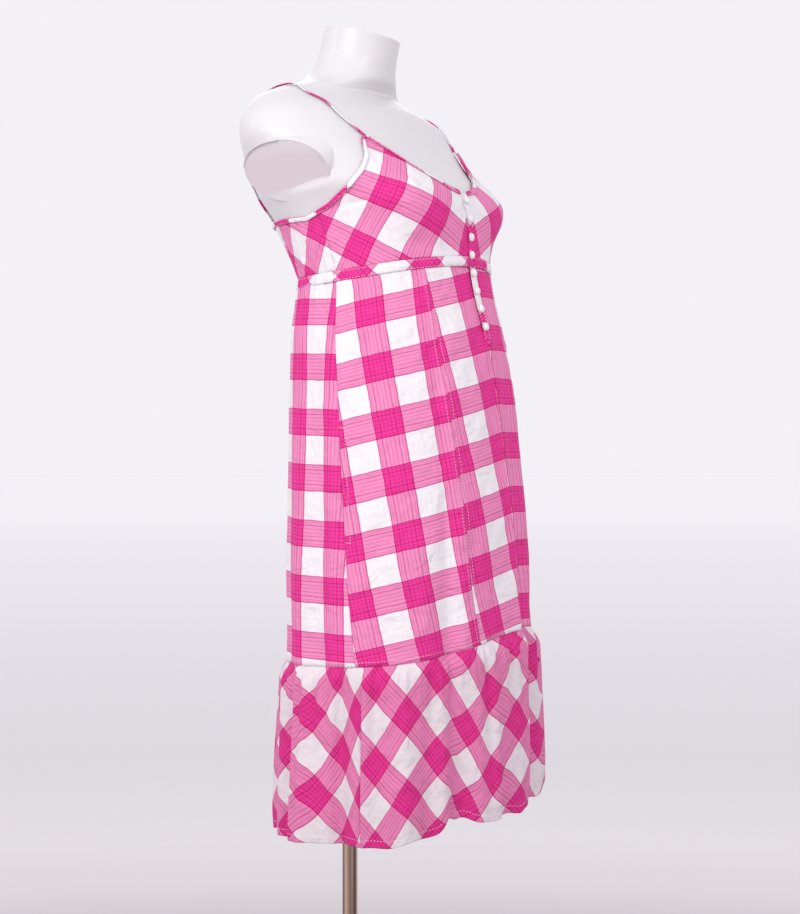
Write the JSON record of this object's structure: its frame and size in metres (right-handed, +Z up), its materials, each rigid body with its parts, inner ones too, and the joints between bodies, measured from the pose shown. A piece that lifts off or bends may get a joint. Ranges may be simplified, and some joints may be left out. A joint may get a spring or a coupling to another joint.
{
  "type": "a-line dress on a limbless dress form with a pole stand",
  "caption": "Sleeveless a-line sundress with thin straps, cupped bodice, button placket, side pockets and gathered hem flounce, worn by a limbless form on a pole and round base.",
  "frame": {"origin": "on the floor under the pole, at the centre of the base plate's underside", "axes": "+Z up along the pole; the wearer faces -Y, so the wearer's left is +X"},
  "size_m": [0.3774, 0.3966, 1.4855],
  "materials": {
    "checked_cotton": "woven check of pink bands on white cotton, matt",
    "bias_cotton": "the same check cut on the bias into narrow strips, matt",
    "white_button": "pearly white domed buttons",
    "form_shell": "smooth satin white shell",
    "brushed_steel": "brushed, slightly brown steel"
  },
  "bodies": {
    "root": {"bodice_front_right": "checked_cotton", "bodice_front_left": "checked_cotton", "bodice_back": "checked_cotton", "skirt_centre_right": "checked_cotton", "skirt_centre_left": "checked_cotton", "skirt_side_right": "checked_cotton", "skirt_side_left": "checked_cotton", "skirt_back": "checked_cotton", "flounce_front": "checked_cotton", "flounce_back": "checked_cotton", "pocket_right": "checked_cotton", "pocket_left": "checked_cotton", "neck_binding_right": "bias_cotton", "neck_binding_left": "bias_cotton", "armhole_binding": "bias_cotton", "casing_front_right": "bias_cotton", "casing_front_left": "bias_cotton", "casing_back": "bias_cotton", "placket": "bias_cotton", "strap_right": "bias_cotton", "strap_left": "bias_cotton", "button_1": "white_button", "button_2": "white_button", "button_3": "white_button", "button_4": "white_button", "button_5": "white_button", "button_6": "white_button", "button_7": "white_button", "button_8": "white_button", "form_torso": "form_shell", "base_plate": "brushed_steel", "pole": "brushed_steel"}
  },
  "joints": []
}
